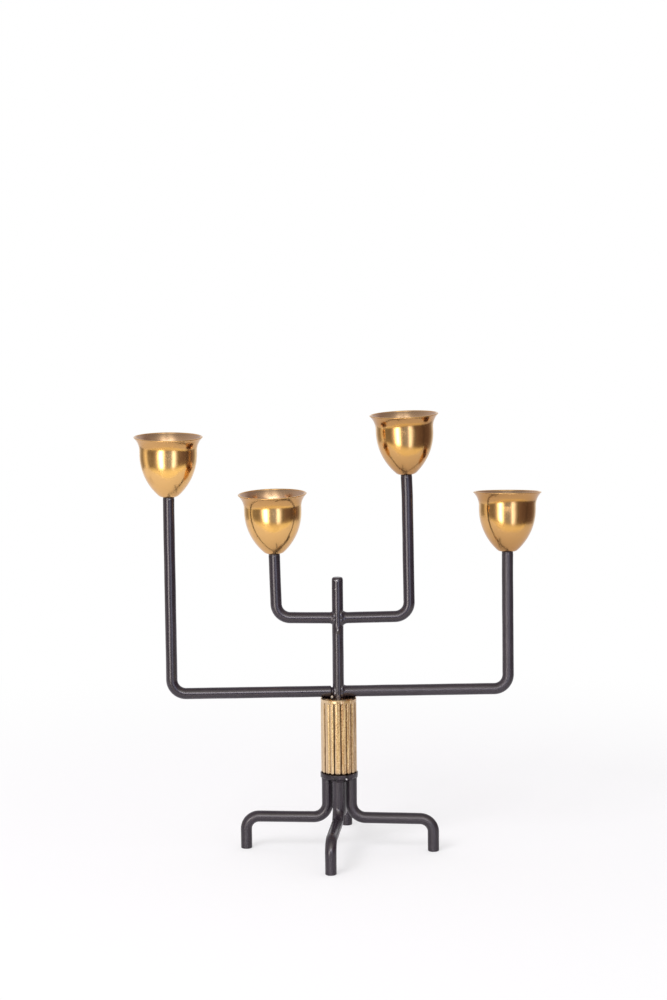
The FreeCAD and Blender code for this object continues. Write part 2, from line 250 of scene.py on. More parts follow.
def turnedMetal(look, grain):
    # metal mixed to its film by one noise, with roughness and bump from another
    material, tree = startMaterial(look["name"])
    read = readPatterns(tree, (), grain["noise"])
    colour = addNode(tree, "Mix", {
        "Factor": read["film"], "A": look["metal"], "B": look["film"]}, data_type="RGBA")
    gloss = addNode(tree, "MapRange", {"Value": read["scratch"], **span("To", look["roughness"])})
    bump = addNode(tree, "Bump", {
        "Height": read["scratch"], "Strength": grain["bump"], "Distance": grain["depth"] * mm})
    shader = addNode(tree, "BsdfPrincipled", {
        "Base Color": colour, "Metallic": 1.0, "Roughness": gloss, "Normal": bump})
    endMaterial(tree, shader)
    return material


lacquer = lacquerOnSteel(lacquerLook)
shadedScaleLacquer = lacquerOnSteel(shadedScaleLook)
cupBrass = polishedBrass(cupLook)
sleeveBrass = satinBrass(sleeveLook)
for nodeName, look in screwLooks.items():
    finish = turnedMetal(look, screwGrain)
    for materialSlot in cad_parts[nodeName].material_slots:
        materialSlot.material = finish
print("materials made")


# Surfaces as grids: rows run along the piece, columns run round it

def unit(vector):
    # the vector over its length
    return vector / np.linalg.norm(vector)


def boxOf(node):
    # low and high corners of a node of the frame, in millimetres
    low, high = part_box(node)
    return np.array(low) / mm, np.array(high) / mm


def circle(count):
    # even angles once round
    return np.linspace(0, 2 * np.pi, count, endpoint=False)


def quarterRound(size, count):
    # offsets along and inwards over a rounded edge, from the side to the end face
    turn = np.linspace(0, np.pi / 2, count)
    return size * np.sin(turn), size * (1 - np.cos(turn))


# lobes round the piece, the range of wave lengths and what brings their sum to about 1
waveForm = {"lobes": (0, 1, 1, 2, 2, 3), "pitch": (0.6, 1.7), "sum": 3.5}


def waves(along, turn, seed, length):
    # a slow unevenness of about -1 to 1: six cosine waves of seeded length and phase, whole round the piece
    draw = np.random.default_rng(seed)
    total = np.zeros((len(along), len(turn)))
    for lobes in waveForm["lobes"]:
        pitch = length * draw.uniform(*waveForm["pitch"])
        phase = draw.uniform(0, 2 * np.pi)
        total += np.cos(2 * np.pi * along[:, None] / pitch + lobes * turn[None, :] + phase)
    return total / waveForm["sum"]


def bell(distance, middle, reach):
    # one at the middle, and away from it the exponential of minus the squared distance over the reach
    return np.exp(-((distance - middle) / reach) ** 2)


def ramp(value):
    # kept between none and all
    return np.clip(value, 0, 1)


def gridFaces(shape, closedAlong, capped, start=0):
    # quads between neighbours, and where the ends are capped a fan of triangles to a pole at each.
    # The points are numbered from the start, with the two poles after them
    rows, columns = shape
    index = start + np.arange(rows * columns).reshape(rows, columns)
    beside = np.roll(index, -1, axis=1)
    quads = np.stack([index, beside, np.roll(beside, -1, axis=0), np.roll(index, -1, axis=0)], axis=-1)
    if not closedAlong:
        quads = quads[:-1]
    faces = quads.reshape(-1, 4).tolist()
    if capped:
        first = np.full(columns, start + rows * columns)
        faces += np.stack([beside[0], index[0], first], axis=-1).tolist()
        faces += np.stack([index[-1], beside[-1], first + 1], axis=-1).tolist()
    return faces


def meshObject(name, points, faces, material):
    # points in millimetres, and the faces between them, as an object at the origin
    mesh = bpy.data.meshes.new(name)
    mesh.from_pydata(np.asarray(points, float) * mm, [], faces)
    mesh.materials.append(material)
    part = bpy.data.objects.new(name, mesh)
    scene.collection.objects.link(part)
    return part


def makePiece(name, grids, finish, nodes):
    # each grid: points, attributes of the same shape, and whether its rows close on themselves
    coords, faces, attributes = [], [], {"marks": [], "along": [], "dull": []}
    count = 0
    for grid in grids:
        points = grid["points"]
        capped = not grid["closed"]
        shape = points.shape[:2]
        faces += gridFaces(shape, grid["closed"], capped, count)
        poles = points[[0, -1]].mean(axis=1) if capped else np.zeros((0, 3))
        coords.append(np.concatenate([points.reshape(-1, 3), poles]))
        for key, parts in attributes.items():
            values = np.broadcast_to(grid.get(key, 0.0), shape)
            ends = values[[0, -1]].mean(axis=1) if capped else np.zeros(0)
            parts.append(np.concatenate([values.reshape(-1), ends]))
        count += len(coords[-1])
    piece = meshObject(name, np.concatenate(coords), faces, finish)
    for key, parts in attributes.items():
        piece.data.attributes.new(key, "FLOAT", "POINT").data.foreach_set("value", np.concatenate(parts))
    piece.data.shade_smooth()
    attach(piece, "root")
    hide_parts(*nodes)


def straightRun(start, end, step, withEnd):
    # even places on the line from start to end
    count = max(2, math.ceil(np.linalg.norm(end - start) / step))
    return start + (end - start) * np.linspace(0, 1, count, endpoint=withEnd)[:, None]


def bentPath(corners, bends, step):
    # straight runs joined by tangent arcs: places along them and the direction at each place
    places, ways = [], []
    start = corners[0]
    for corner, following, bend in zip(corners[1:-1], corners[2:], bends):
        into = unit(corner - start)
        out = unit(following - corner)
        turn = math.acos(min(1.0, into @ out))
        if turn < 1e-6:              # straight on
            continue
        setback = bend * math.tan(turn / 2)
        inward = unit(out - into * (into @ out))
        arcStart = corner - into * setback
        places.append(straightRun(start, arcStart, step, False))
        ways.append(np.broadcast_to(into, places[-1].shape))
        count = max(2, math.ceil(bend * turn / (step / 2)))
        swing = np.linspace(0, turn, count, endpoint=False)[:, None]
        places.append(arcStart + bend * (inward * (1 - np.cos(swing)) + into * np.sin(swing)))
        ways.append(into * np.cos(swing) + inward * np.sin(swing))
        start = corner + out * setback
    places.append(straightRun(start, corners[-1], step, True))
    ways.append(np.broadcast_to(unit(corners[-1] - start), places[-1].shape))
    return np.concatenate(places), np.concatenate(ways)


def lathe(radii, heights, foot, axis, turn, first=None):
    # rings at heights along an axis, each with its radii round it: the foot plus the height along the axis,
    # plus the radius along the cosine of the first direction and the sine of the second
    if first is None:
        first = unit(np.cross([0.0, 1.0, 0.0], axis))
    second = np.cross(axis, first)
    outward = np.cos(turn)[:, None] * first + np.sin(turn)[:, None] * second
    return foot + heights[:, None, None] * axis + radii[:, :, None] * outward


# Rod that the legs, arms and post are bent from

rodLook = {
    "radius": 3.15, "film": 0.02, "uneven": 0.03, "wave": 26.0,
    # columns round it, steps along it and along its finely drawn ends, and rows over a rounded edge
    "columns": 56, "step": 1.2, "fine": 0.15, "edgeRows": 6,
    # shares of the radius: how far in the rings of an end face lie, and the least that is left of it
    "endRings": (0.45, 0.8), "least": 0.1,
    # a distance that counts as away from an end, and the share of the marks that is even round the rod
    "farOff": 1000.0, "evenMarks": 0.75,
}
rodSkin = rodLook["radius"] + rodLook["film"]


def rodGrid(corners, bends, endStyles, seed, side, dull=0.0):
    # a round section carried along runs and arcs. An end style gives the rounded edge at that end, the
    # stretch near it that is drawn finely, and its form: how the radius and marks change with distance
    radius = rodSkin
    corners = [np.array(corner, float) for corner in corners]
    inner = list(corners)
    heads = []
    for end, style in zip((0, -1), endStyles):
        neighbour = corners[1] if end == 0 else corners[-2]
        outward = unit(corners[end] - neighbour)
        inner[end] = corners[end] - outward * style["fine"]
        count = math.ceil((style["fine"] - style["round"]) / rodLook["fine"])
        reach = np.linspace(style["fine"], style["round"], count, endpoint=False)[1:]
        alongEdge, inwards = quarterRound(style["round"], rodLook["edgeRows"])
        distance = np.concatenate([reach, style["round"] - alongEdge, np.zeros(len(rodLook["endRings"]))])
        endRings = radius * np.array(rodLook["endRings"])
        narrowing = np.concatenate([np.zeros(len(reach)), inwards, endRings])
        heads.append({"places": corners[end] - outward * distance[:, None], "distance": distance,
                      "narrowing": narrowing, "ways": np.broadcast_to(outward, (len(distance), 3))})
    places, ways = bentPath(inner, bends, rodLook["step"])
    first, last = heads
    far = [np.full(len(part), rodLook["farOff"]) for part in (first["places"], places, last["places"])]
    fromEnds = [np.concatenate([first["distance"][::-1], far[1], far[2]]),
                np.concatenate([far[0], far[1], last["distance"]])]
    narrowing = np.concatenate([first["narrowing"][::-1], np.zeros(len(places)), last["narrowing"]])
    places = np.concatenate([first["places"][::-1], places, last["places"]])
    ways = np.concatenate([-first["ways"], ways, last["ways"]])
    steps = np.linalg.norm(np.diff(places, axis=0), axis=1)
    along = np.concatenate([[0.0], np.cumsum(steps)])
    turn = circle(rodLook["columns"])
    wobble = waves(along, turn, seed, rodLook["wave"])
    swell = np.zeros(len(along))
    marks = np.zeros((len(along), len(turn)))
    for distance, style in zip(fromEnds, endStyles):
        swell += style["form"](distance)
        fromMark = np.abs(distance - style["markFrom"])
        marks = np.maximum(marks, style["marks"] * np.exp(-fromMark / style["markReach"])[:, None])
    ring = radius - narrowing + swell
    radii = ring[:, None] * (1 + wobble * rodLook["uneven"] / radius)
    radii = np.maximum(radii, radius * rodLook["least"])
    across = side - ways * (ways @ side)[:, None]
    across /= np.linalg.norm(across, axis=1)[:, None]
    upward = np.cross(ways, across)
    points = (places[:, None, :] + radii[:, :, None] * (
        np.cos(turn)[None, :, None] * across[:, None, :] + np.sin(turn)[None, :, None] * upward[:, None, :]))
    marks = marks * (rodLook["evenMarks"] + (1 - rodLook["evenMarks"]) * wobble)
    return {"points": points, "closed": False, "marks": marks, "along": along[:, None], "dull": dull}


# each with its height or depth, its distance from the end and its reach
seatLacquer = {"bead": (0.04, 2.1, 0.8), "ring": (0.07, 0.95, 0.25)}
filedTop = {"depth": 0.16, "from": 2.0, "length": 1.4, "power": 1.5}


def plainForm(distance):
    # no change of radius
    return np.zeros_like(distance)


def seatForm(distance):
    # below a cup the lacquer pulled back into a shallow ring, with a bead of it just under
    bead, ring = [size * bell(distance, middle, reach) for size, middle, reach in seatLacquer.values()]
    return bead - ring


def topForm(distance):
    # the post's top is filed to a slight taper below its edge: a power of the share of the way to it
    return -filedTop["depth"] * ramp((filedTop["from"] - distance) / filedTop["length"]) ** filedTop["power"]


footEnd = {"round": 0.45, "fine": 3.0, "form": plainForm, "marks": 0.55, "markFrom": 0.0, "markReach": 1.6}
hiddenEnd = {"round": 0.2, "fine": 2.0, "form": plainForm, "marks": 0.0, "markFrom": 0.0, "markReach": 1.0}
seatEnd = {"round": 0.4, "fine": 5.0, "form": seatForm, "markFrom": seatLacquer["ring"][1],
           "markReach": 0.35}
openEnd = {"round": 0.75, "fine": 3.0, "form": plainForm, "marks": 0.3, "markFrom": 0.0, "markReach": 1.2}
filedEnd = {"round": 0.9, "fine": 3.2, "form": topForm, "marks": 0.2, "markFrom": 1.3, "markReach": 0.7}


# Legs: down from the collar, out level above the table and down to a foot

legs = {
    "heading": {"front_leg": -5.5, "right_leg": 83.3, "rear_leg": 175.5, "left_leg": 265.5},
    "dull": {"front_leg": 0.1, "right_leg": 0.8, "rear_leg": 0.3, "left_leg": 0.1},
    "footCircle": 53.0, "topCircle": 6.75, "runHeight": 18.4, "topBend": 8.0, "footBend": 7.4,
    "seed": 11,
}
collarLow, collarHigh = boxOf("base_collar")
collarRadius = (collarHigh[0] - collarLow[0]) / 2


def headingOf(degrees):
    # level direction at this many degrees from the front, -Y, towards the right
    angle = math.radians(degrees)
    return np.array([math.sin(angle), -math.cos(angle), 0.0])


for nth, (name, degrees) in enumerate(legs["heading"].items()):
    out = headingOf(degrees)
    corners = [out * legs["topCircle"] + up * collarLow[2], out * legs["topCircle"] + up * legs["runHeight"],
               out * legs["footCircle"] + up * legs["runHeight"], out * legs["footCircle"]]
    grid = rodGrid(corners, [legs["topBend"], legs["footBend"]], [hiddenEnd, footEnd],
                   legs["seed"] + nth, np.cross(out, up), legs["dull"][name])
    makePiece(name + "_painted", [grid], lacquer, [name])
print("legs made")


# Welds under the collar: a hollow fillet round each leg's top, thin on the side of the collar's edge

legWeld = {"size": 1.15, "tall": 1.3, "sink": 0.4, "bury": 0.03, "innerRoom": 0.9, "rows": 18, "columns": 64,
           # lumps and bare patches: how much, their length, the waves' run down the fillet and their seeds
           "lump": 0.22, "lumpLength": 9.0, "bare": 0.45, "bareLength": 5.0, "run": 6.0,
           "seed": 31, "bareSeed": 36}


def legWeldGrid(degrees, nth):
    # rings down the leg, wider than it by a hollow quarter circle whose size varies round it
    out = headingOf(degrees)
    turn = circle(legWeld["columns"])
    share = np.linspace(0, 1, legWeld["rows"])
    edge = collarRadius - legs["topCircle"] - rodLook["radius"]
    room = np.minimum(legWeld["size"], edge + legWeld["innerRoom"] * (1 - np.cos(turn)))
    run = share * legWeld["run"]
    lumps = 1 + legWeld["lump"] * waves(run, turn, legWeld["seed"] + nth, legWeld["lumpLength"])
    width = room[None, :] * lumps
    # full width under the collar, nothing at the lower edge
    radii = rodSkin - legWeld["bury"] + width * (1 - np.sqrt(1 - (1 - share[:, None]) ** 2))
    drop = -legWeld["sink"] + share * (legWeld["size"] * legWeld["tall"] + legWeld["sink"])
    centre = out * legs["topCircle"] + up * collarLow[2]
    points = lathe(radii, drop, centre, -up, turn, out)
    marks = legWeld["bare"] * ramp(waves(run, turn, legWeld["bareSeed"] + nth, legWeld["bareLength"]))
    return {"points": points, "closed": False, "marks": marks}


beads = [legWeldGrid(degrees, nth) for nth, degrees in enumerate(legs["heading"].values())]
makePiece("leg_welds_painted", beads, shadedScaleLacquer, ["leg_welds"])


# Collar: a thick disc with a softly rounded rim and the screw's hole

collar = {"topRound": 0.35, "bottomRound": 1.4, "hole": 2.05, "columns": 200, "topRows": 8,
          "bottomRows": 10, "flatRows": 10, "wallRows": 8, "seed": 71,
          # depth of the ripples, their length and lobes, and the power by which they grow towards the rim
          "uneven": 0.16, "lump": 5.0, "lobes": 4, "rimPower": 4,
          # reach and strength of the rubbing at the top and bottom edge
          "topRub": (0.8, 0.35), "bottomRub": (1.0, 0.3),
          # a drop of weld on the lower edge, bare and pale so that it also paints in its glint: heading,
          # height above the bottom, size and how far it stands out
          "drop": (23.0, 0.9, 0.75, 0.4)}


def collarGrid():
    # a closed outline turned about the axis: underside, rounded edge, wall, rounded edge, top and hole
    turn = circle(collar["columns"])
    topAlong, topIn = quarterRound(collar["topRound"], collar["topRows"])
    lowAlong, lowIn = quarterRound(collar["bottomRound"], collar["bottomRows"])
    bottom, top = collarLow[2], collarHigh[2]
    flat = np.linspace(collar["hole"], collarRadius - collar["bottomRound"], collar["flatRows"])[:-1]
    wall = np.linspace(bottom + collar["bottomRound"], top - collar["topRound"], collar["wallRows"])[1:-1]
    face = np.linspace(collarRadius - collar["topRound"], collar["hole"], collar["flatRows"])[1:]
    radii = np.concatenate([flat, collarRadius - lowIn[::-1], np.full(len(wall), collarRadius),
                            collarRadius - topIn, face])
    heights = np.concatenate([np.full(len(flat), bottom), bottom + collar["bottomRound"] - lowAlong[::-1],
                              wall, top - collar["topRound"] + topAlong, np.full(len(face), top)])
    outer = (radii / collarRadius) ** collar["rimPower"]
    lower = ramp((top - heights) / (top - bottom))
    ripple = waves(heights, turn * collar["lobes"], collar["seed"], collar["lump"])
    ripple = ripple * collar["uneven"] * (outer * lower)[:, None]
    marks = np.zeros(len(heights))
    for edge, (reach, strength) in ((top, collar["topRub"]), (bottom, collar["bottomRub"])):
        marks = np.maximum(marks, ramp(1 - np.abs(heights - edge) / reach) * strength * outer)
    heading, height, size, proud = collar["drop"]
    sideways = collarRadius * np.angle(np.exp(1j * (turn - math.radians(heading - 90))))[None, :]
    drop = np.exp(-(sideways ** 2 + (heights - bottom - height)[:, None] ** 2) / size ** 2)
    drop = drop * np.sqrt(outer)[:, None]
    points = lathe(radii[:, None] - np.abs(ripple) + proud * drop, heights, np.zeros(3), up, turn)
    # the drop is also bare pale metal, which paints in the glint on it
    return {"points": points, "closed": True, "marks": np.maximum(marks[:, None], drop)}


makePiece("collar_painted", [collarGrid()], shadedScaleLacquer, ["base_collar"])
print("collar and leg welds made")


# Reeded sleeve: round-backed reeds between narrow grooves that stop below a plain band

sleeve = {
    "bore": 3.25, "chamfer": 0.65, "edgeSoft": 0.04, "band": 2.3, "grooveDepth": 0.65, "grooveRunout": 1.1,
    "reedCurve": 2.8, "firstGroove": 6.2, "columnsPerReed": 30, "bunching": 0.09,
    # the heading where the painted shade is deepest, rows along each stretch, and shares of the bevel that
    # have a row
    "shadiestHeading": 45.0, "shaftRows": 24, "runoutRows": 14, "bandRows": 5, "faceRows": 10, "boreRows": 12,
    "baseRows": 6, "bevelShares": (0.06, 0.3, 0.6, 0.94, 1.0),
    # how the grooves' depth varies and over what length, and the range of depth over which dirt gathers
    "depthVaries": 0.12, "depthWave": 30.0, "seed": 83, "dirtRange": (0.15, 0.85),
    # degrees by which each groove, from the first round towards the right, strays from even spacing
    "strays": (1.0, 0.8, -1.2, 0.8, 1.5, -1.0, 0.6, -0.4, 1.2,
               -0.8, 0.3, 1.1, -1.3, 0.4, -1.2, 0.8, 2.6, -2.2),
    # how much dirt each groove holds
    "grime": (0.8, 0.75, 0.85, 0.8, 0.8, 0.5, 0.9, 0.6, 0.7, 0.8, 0.5, 0.9, 0.6, 0.7, 0.6, 0.85, 0.45, 1.0),
}
sleeveLow, sleeveHigh = boxOf("reeded_sleeve")


def sleeveGrid():
    # a closed outline turned about the axis: reeded shaft, band, bevel, top, bore and base
    radius = (sleeveHigh[0] - sleeveLow[0]) / 2
    bottom, top = sleeveLow[2], sleeveHigh[2]
    reeds = len(sleeve["strays"])
    even = np.arange(reeds) * 360 / reeds
    grooves = (even + np.array(sleeve["strays"]) + sleeve["firstGroove"]) % 360
    order = np.argsort(grooves)
    grooves = grooves[order]
    grime = np.array(sleeve["grime"])[order]
    # columns: each reed from its groove to the next, bunched towards the grooves
    edges = np.append(grooves, grooves[0] + 360)
    share = np.arange(sleeve["columnsPerReed"]) / sleeve["columnsPerReed"]
    eased = share - sleeve["bunching"] * np.sin(2 * np.pi * share)
    headings = (edges[:-1, None] + np.diff(edges)[:, None] * eased[None, :]).reshape(-1)
    across = np.tile(eased, reeds)
    # each half of a reed takes the dirt of its own groove
    dirt = np.where(eased < 0.5, grime[:, None], np.roll(grime, -1)[:, None]).reshape(-1)
    # depth below the crest: a power curve across each reed, flat on its back and steep into the grooves
    hollow = np.abs(2 * across - 1) ** sleeve["reedCurve"]
    grooveTop = top - sleeve["band"]
    rise = np.sin(np.linspace(0, np.pi / 2, sleeve["runoutRows"]))
    runout = grooveTop - sleeve["grooveRunout"] * (1 - rise)
    shaft = np.linspace(bottom, runout[0], sleeve["shaftRows"])[:-1]
    # rows close to the chamfer's two edges keep them crisp
    crease = top - sleeve["chamfer"]
    band = np.linspace(grooveTop, crease - sleeve["edgeSoft"], sleeve["bandRows"])
    band = np.append(band[1:], crease)
    bevel = np.array(sleeve["bevelShares"])
    face = np.linspace(radius - sleeve["chamfer"] - sleeve["edgeSoft"], sleeve["bore"], sleeve["faceRows"])
    boreDown = np.linspace(top, bottom, sleeve["boreRows"])[1:]
    base = np.linspace(sleeve["bore"], radius - sleeve["grooveDepth"], sleeve["baseRows"])[1:]
    edge = top - sleeve["chamfer"] * (1 - bevel)
    heights = np.concatenate([shaft, runout, band, edge, np.full(len(face), top),
                              boreDown, np.full(len(base), bottom)])
    radii = np.concatenate([np.full(len(shaft) + len(runout) + len(band), radius),
                            radius - sleeve["chamfer"] * bevel, face,
                            np.full(len(boreDown), sleeve["bore"]), base])
    fade = np.zeros(len(heights))
    fade[:len(shaft)] = 1
    fade[len(shaft):len(shaft) + len(runout)] = np.sqrt(ramp(1 - rise ** 2))
    turn = np.radians(headings - 90)          # heading 0 is the front, -Y
    uneven = sleeve["depthVaries"] * waves(heights, turn, sleeve["seed"], sleeve["depthWave"])
    depth = sleeve["grooveDepth"] * (1 + uneven)
    radii = radii[:, None] - fade[:, None] * hollow[None, :] * depth
    least, most = sleeve["dirtRange"]
    marks = fade[:, None] * ramp((hollow[None, :] - least) / (most - least)) * dirt[None, :]
    points = lathe(radii, heights, np.zeros(3), up, turn)
    # painted shade: none on the far side, rising as the cosine of the angle to all at the shadiest heading
    paintedShade = (1 + np.cos(np.radians(headings - sleeve["shadiestHeading"]))) / 2
    return {"points": points, "closed": True, "marks": marks, "dull": paintedShade[None, :]}


makePiece("sleeve_reeded_brass", [sleeveGrid()], sleeveBrass, ["reeded_sleeve"])
print("sleeve made")


# Post: straight rod through the sleeve, its bare top a little battered

postLow, postHigh = boxOf("center_post")
postSeed = 97
postGrid = rodGrid([up * postLow[2], up * postHigh[2]], [], [hiddenEnd, filedEnd], postSeed,
                   np.array([1.0, 0.0, 0.0]))
# on its front: a run of lacquer below the upper joint, a worn patch under the top, bare and pale so that it
# also paints in the glint there, and chips down from it.
# Each has its place across and up, its half width and half height, how far it stands out and how bare it is
postSpots = {
    "run": (0.1, 126.5, 0.9, 1.5, 0.42, 0.8),
    "wornGlint": (-0.3, postHigh[2] - 1.5, 1.9, 0.7, 0.0, 1.0),
    "chips": (-1.3, postHigh[2] - 5.5, 0.35, 3.5, 0.0, 0.62),
}
inFront = postGrid["points"][..., 1] < 0
for across, height, width, length, proud, bare in postSpots.values():
    sideways = (postGrid["points"][..., 0] - across) / width
    upwards = (postGrid["points"][..., 2] - height) / length
    spot = np.exp(-sideways ** 2 - upwards ** 2) * inFront
    postGrid["points"][..., 1] -= proud * spot
    postGrid["marks"] = np.maximum(postGrid["marks"], bare * spot)
makePiece("post_painted", [postGrid], lacquer, ["center_post"])


# Arms, each a run out from the post, a bend and an upright with a straight neck under its cup

armShape = {"bend": 8.0, "neck": 12.0, "neckBend": 80.0, "spacing": 41.8, "seed": 41}
lowerHeight = sleeveHigh[2] + rodLook["radius"]
upperHeight = lowerHeight + armShape["spacing"]
# angles in degrees: the run's turn and rise, then how the upright and the cup lean. Tarnish is the cup's,
# dull and chips are the lacquer's
arms = {
    "lower_left": {
        "side": -1, "height": lowerHeight, "reach": 93.1, "upright": 111.5, "turn": 1.7, "rise": 0.0,
        "leanOut": 0.0, "leanBack": 0.0, "cupLeanOut": -0.5, "gap": 0.8, "weld": 0.0,
        "tarnish": 0.0, "dull": 0.0, "chips": 0.85},
    "lower_right": {
        "side": 1, "height": lowerHeight, "reach": 95.4, "upright": 76.8, "turn": 1.7, "rise": 0.0,
        "leanOut": 0.0, "leanBack": 5.5, "cupLeanOut": 0.3, "gap": 0.1, "weld": 1.6,
        "tarnish": 0.35, "dull": 0.9, "chips": 0.2},
    "upper_left": {
        "side": -1, "height": upperHeight, "reach": 34.1, "upright": 36.9, "turn": 0.0, "rise": 0.8,
        "leanOut": 1.4, "leanBack": 0.0, "cupLeanOut": 1.2, "gap": 0.1, "weld": 1.5,
        "tarnish": 0.12, "dull": 0.2, "chips": 0.2},
    "upper_right": {
        "side": 1, "height": upperHeight, "reach": 40.0, "upright": 80.4, "turn": 0.0, "rise": 0.8,
        "leanOut": -0.6, "leanBack": 1.0, "cupLeanOut": -2.0, "gap": 0.1, "weld": 2.3,
        "tarnish": 0.35, "dull": 0.1, "chips": 0.2},
}


def slope(degrees):
    # how far a line at this angle goes sideways for each unit ahead
    return math.tan(math.radians(degrees))


def armLines(arm):
    # directions and points that an arm, its weld and its cup share
    turn = math.radians(arm["turn"])
    out = arm["side"] * np.array([math.cos(turn), math.sin(turn), 0.0])
    backwards = np.array([0.0, slope(arm["leanBack"]), 0.0])
    root = up * arm["height"]
    corner = root + out * arm["reach"] + up * arm["reach"] * slope(arm["rise"])
    upright = out * slope(arm["leanOut"]) + backwards + up
    axis = unit(out * slope(arm["cupLeanOut"]) + backwards + up)
    neck = corner + upright * (arm["height"] + arm["upright"] - armShape["neck"] - corner[2])
    return {"root": root, "run": unit(corner - root), "corner": corner, "neck": neck,
            "seat": neck + axis * armShape["neck"], "axis": axis}


for nth, (name, arm) in enumerate(arms.items()):
    lines = armLines(arm)
    start = lines["root"] + lines["run"] * (rodLook["radius"] + arm["gap"])
    startEnd = hiddenEnd if arm["weld"] else openEnd
    topEnd = {**seatEnd, "marks": arm["chips"]}
    corners = [start, lines["corner"], lines["neck"], lines["seat"]]
    grid = rodGrid(corners, [armShape["bend"], armShape["neckBend"]], [startEnd, topEnd],
                   armShape["seed"] + nth, unit(np.cross(lines["run"], up)), arm["dull"])
    makePiece(name + "_arm_painted", [grid], lacquer, [name + "_arm"])
print("post and arms made")


# Welds where the arms meet the post: hollow fillets, lumpy, or a plug set back in an open joint

armWeld = {
    "rows": 26, "columns": 72, "bury": 1.2, "filed": 0.02, "seed": 61,
    # fillet: its length over its size, where on the post's radius it is full, its share of size at the
    # sides, how far it sinks into the rod, and its lumps
    "length": 1.15, "full": 0.8, "sides": 0.3, "sink": 0.02, "lump": 0.2, "lumpLength": 5.0,
    # plug: its least radius, how it flares, how far it runs on, where its waist is, and its lumps
    "plug": 2.36, "plugFlare": 0.85, "flareMost": 1.4, "flarePower": 1.6, "plugSides": 0.6, "plugRun": 0.2,
    "waist": 0.55, "plugLump": 0.08, "plugLumpLength": 4.0,
    "bare": 0.32, "bareLength": 3.0, "bareSeed": 68,
}


def armWeldGrid(arm, nth):
    # rings along the arm from inside the post, wider than the rod by a hollow quarter circle, or a plug
    lines = armLines(arm)
    radius = rodSkin
    seed = armWeld["seed"] + nth
    turn = circle(armWeld["columns"])
    across = unit(np.cross(lines["run"], up))
    joint = radius + arm["gap"]
    upDown = np.abs(np.sin(turn))[None, :]
    if arm["weld"]:
        end = joint + arm["weld"] * armWeld["length"]
        reach = np.linspace(armWeld["bury"], end, armWeld["rows"])
        remaining = ramp((end - reach) / (end - radius * armWeld["full"]))[:, None]
        size = arm["weld"] * (armWeld["sides"] + (1 - armWeld["sides"]) * upDown)
        lumps = 1 + armWeld["lump"] * waves(reach, turn, seed, armWeld["lumpLength"])
        radii = radius - armWeld["sink"] + size * lumps * (1 - np.sqrt(1 - remaining ** 2))
    else:
        # waisted plug: flares on to the post and on to the cut end of the rod
        end = joint + armWeld["plugRun"]
        reach = np.linspace(armWeld["bury"], end, armWeld["rows"])
        middle = radius + arm["gap"] * armWeld["waist"]
        away = np.abs(reach - middle)[:, None] / arm["gap"]
        flare = armWeld["plugFlare"] * np.minimum(away, armWeld["flareMost"]) ** armWeld["flarePower"]
        radii = armWeld["plug"] + flare * (armWeld["plugSides"] + (1 - armWeld["plugSides"]) * upDown)
        radii = radii * (1 + armWeld["plugLump"] * waves(reach, turn, seed, armWeld["plugLumpLength"]))
    points = lathe(radii, reach, lines["root"], lines["run"], turn, across)
    if arm["height"] == lowerHeight:
        # filed level where the bead would run into the sleeve's top
        points[..., 2] = np.maximum(points[..., 2], sleeveHigh[2] + armWeld["filed"])
    marks = armWeld["bare"] * ramp(waves(reach, turn, armWeld["bareSeed"] + nth, armWeld["bareLength"]))
    return {"points": points, "closed": False, "marks": marks}


for level in ("lower", "upper"):
    beads = [armWeldGrid(arms[level + "_" + hand], nth) for nth, hand in enumerate(("left", "right"))]
    makePiece(level + "_arm_welds_painted", beads, lacquer, [level + "_arm_welds"])
print("arm welds made")


# Candle cups, spun: foot, belly, short straight and flared lip with a rounded rim

cup = {"height": 33.6, "rim": 39.2, "belly": 31.9, "lip": 7.8, "straight": 1.8, "foot": 3.4, "footRound": 3.5,
       "wall": 0.9, "rimShare": 0.45, "hole": 1.55, "uneven": 0.03, "dentLength": 40.0, "seed": 51,
       "columns": 192, "floorRows": 6, "footRows": 18, "bellyRows": 64, "lipRows": 34, "rimRows": 14,
       # painted shade in the tarnish colour: under the lip and the share of it that it takes to grow, near
       # the foot, and what the cup's own tarnish adds to both
       "lipShade": 0.5, "lipGrowth": 0.4, "footShade": 0.25, "footReach": 16.0, "ownShare": 0.6}


def arcPoints(centre, radius, startDegrees, endDegrees, count):
    # points on a circle at even steps from one angle to another
    angle = np.radians(np.linspace(startDegrees, endDegrees, count))
    return np.stack([centre[0] + radius * np.cos(angle), centre[1] + radius * np.sin(angle)], axis=-1)


def cupCurve(inset, lipTop):
    # the cup's outline moved in by the inset, from the floor up to the lip: arcs that run into each other
    belly = cup["belly"] / 2
    flare = cup["rim"] / 2 - belly
    lipRadius = (flare ** 2 + cup["lip"] ** 2) / (2 * flare)
    lipBottom = cup["height"] - cup["lip"]
    bellyTop = lipBottom - cup["straight"]
    reach = belly - cup["foot"]
    rise = bellyTop - cup["footRound"]
    curve = (reach ** 2 + rise ** 2 - cup["footRound"] ** 2) / (2 * (reach - cup["footRound"]))
    bellyCentre = (belly - curve, bellyTop)
    footCentre = (cup["foot"], cup["footRound"])
    lipCentre = (belly + lipRadius, lipBottom)
    slant = math.degrees(math.atan2(footCentre[1] - bellyCentre[1], footCentre[0] - bellyCentre[0]))
    lipAngle = 180 - math.degrees(math.asin((lipTop - lipBottom) / (lipRadius + inset)))
    floor = np.linspace((cup["hole"], inset), (cup["foot"], inset), cup["floorRows"])
    return np.concatenate([
        floor[:-1],
        arcPoints(footCentre, cup["footRound"] - inset, -90, slant, cup["footRows"])[:-1],
        arcPoints(bellyCentre, curve - inset, slant, 0, cup["bellyRows"]),
        arcPoints(lipCentre, lipRadius + inset, 180, lipAngle, cup["lipRows"]),
    ])


